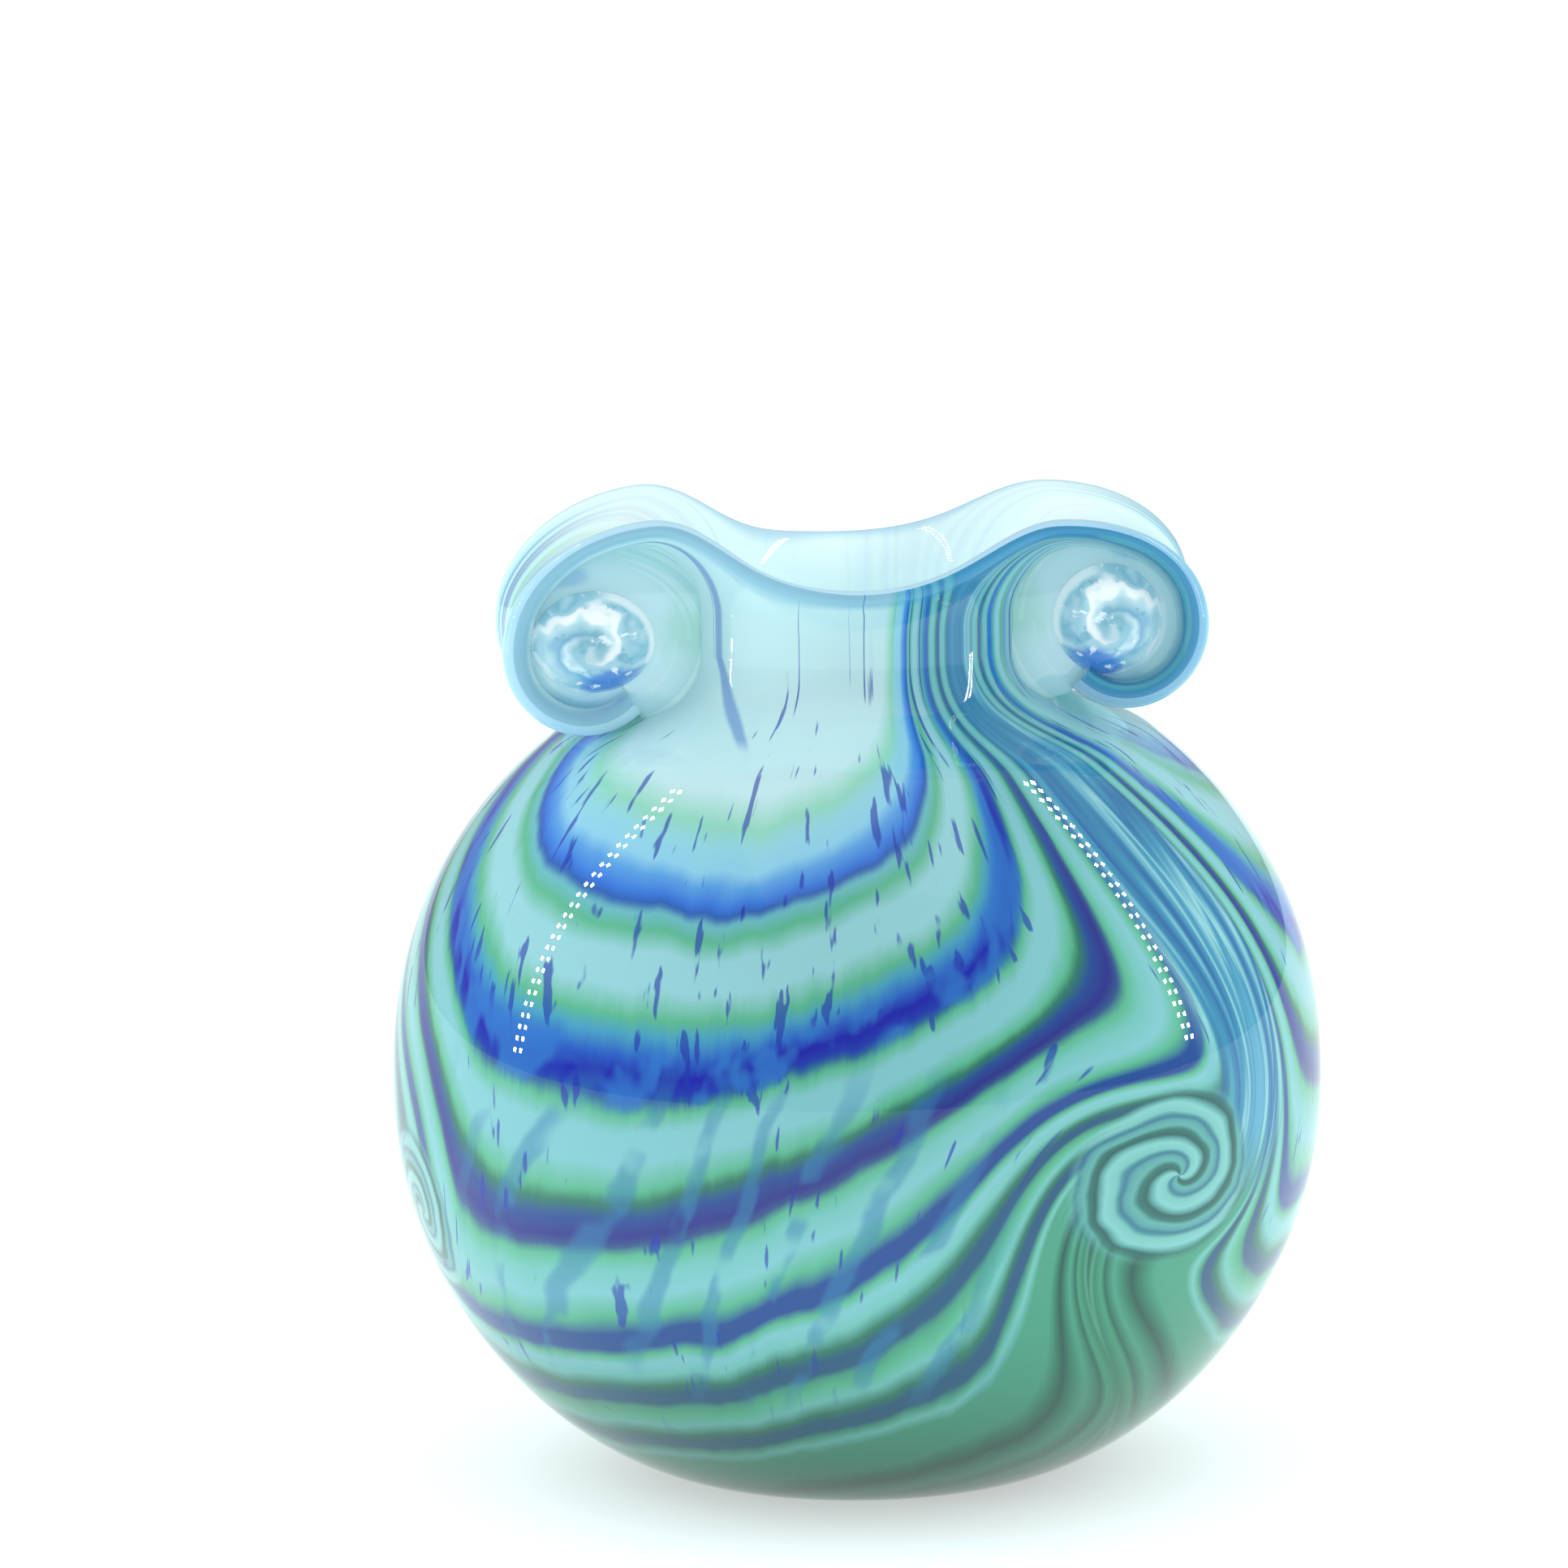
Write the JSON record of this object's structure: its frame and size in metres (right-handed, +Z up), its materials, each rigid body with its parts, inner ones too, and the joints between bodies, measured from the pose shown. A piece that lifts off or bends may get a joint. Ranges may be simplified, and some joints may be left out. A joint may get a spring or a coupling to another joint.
{
  "type": "hand blown art glass vase",
  "caption": "Round blown glass vase with swirled aqua, green and cobalt bands under clear glass, a short neck and a saddle-shaped lip rolled into scrolls at its sides.",
  "frame": {"origin": "centre of the flat ground foot, on the surface the vase stands on", "axes": "+Z up along the body's axis; the scrolls roll outwards along +X and -X; -Y is the front, where the drag that ends in the large curl is to the right"},
  "size_m": [0.152, 0.152, 0.1613],
  "materials": {
    "opal_aqua_glass": "glossy, milky and opaque",
    "green_glass": "glossy, translucent",
    "cobalt_glass": "glossy, translucent",
    "cased_art_glass": "fire polished clear glass over marbled aqua, green and cobalt",
    "lip_glass": "fire polished, pale aqua with fine blue lines",
    "clear_tip_glass": "fire polished, clear"
  },
  "bodies": {
    "root": {"lining_bubble": "opal_aqua_glass", "green_trail": "green_glass", "cobalt_trail": "cobalt_glass", "clear_casing": "cased_art_glass", "saddle_lip": "lip_glass", "right_scroll": "lip_glass", "left_scroll": "lip_glass", "right_scroll_tip": "clear_tip_glass", "left_scroll_tip": "clear_tip_glass"}
  },
  "joints": []
}
